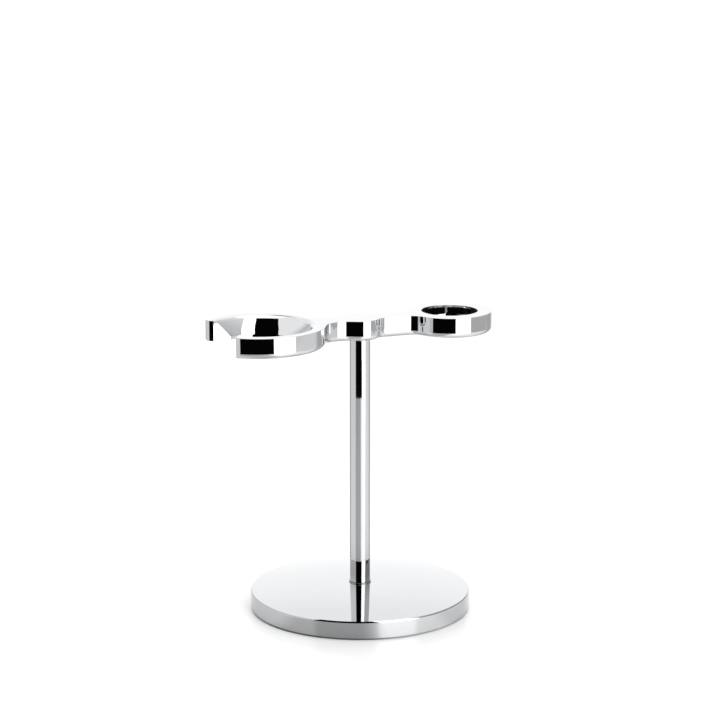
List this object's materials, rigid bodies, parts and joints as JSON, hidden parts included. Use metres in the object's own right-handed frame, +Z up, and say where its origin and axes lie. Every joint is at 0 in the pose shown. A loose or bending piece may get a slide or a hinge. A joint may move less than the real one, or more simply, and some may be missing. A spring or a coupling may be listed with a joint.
{
  "type": "razor stand",
  "caption": "Chromed shaving stand: domed round base, slim column and a long holder with an open brush fork and a closed razor ring.",
  "frame": {"origin": "centre of the underside of the pad, on the column's axis, where the stand rests", "axes": "+Z up along the column; +X along the holder towards the razor ring; the brush fork opens towards -X"},
  "size_m": [0.1109, 0.086, 0.1161],
  "materials": {
    "chrome_base": "mirror-polished chrome plate",
    "chrome_column": "mirror-polished chrome plate",
    "chrome_holder": "mirror-polished chrome plate",
    "zinc_steel": "bright zinc-plated steel",
    "ring_steel": "thin turned steel ring",
    "black_pad": "matt black foam rubber",
    "black_liner": "satin black plastic"
  },
  "bodies": {
    "root": {"base_disc": "chrome_base", "base_pad": "black_pad", "base_screw": "zinc_steel", "lock_washer": "zinc_steel", "flat_washer": "zinc_steel", "foot_ring": "ring_steel", "column": "chrome_column", "head_stud": "zinc_steel", "holder_head": "chrome_holder", "razor_ring_liner": "black_liner"}
  },
  "joints": []
}
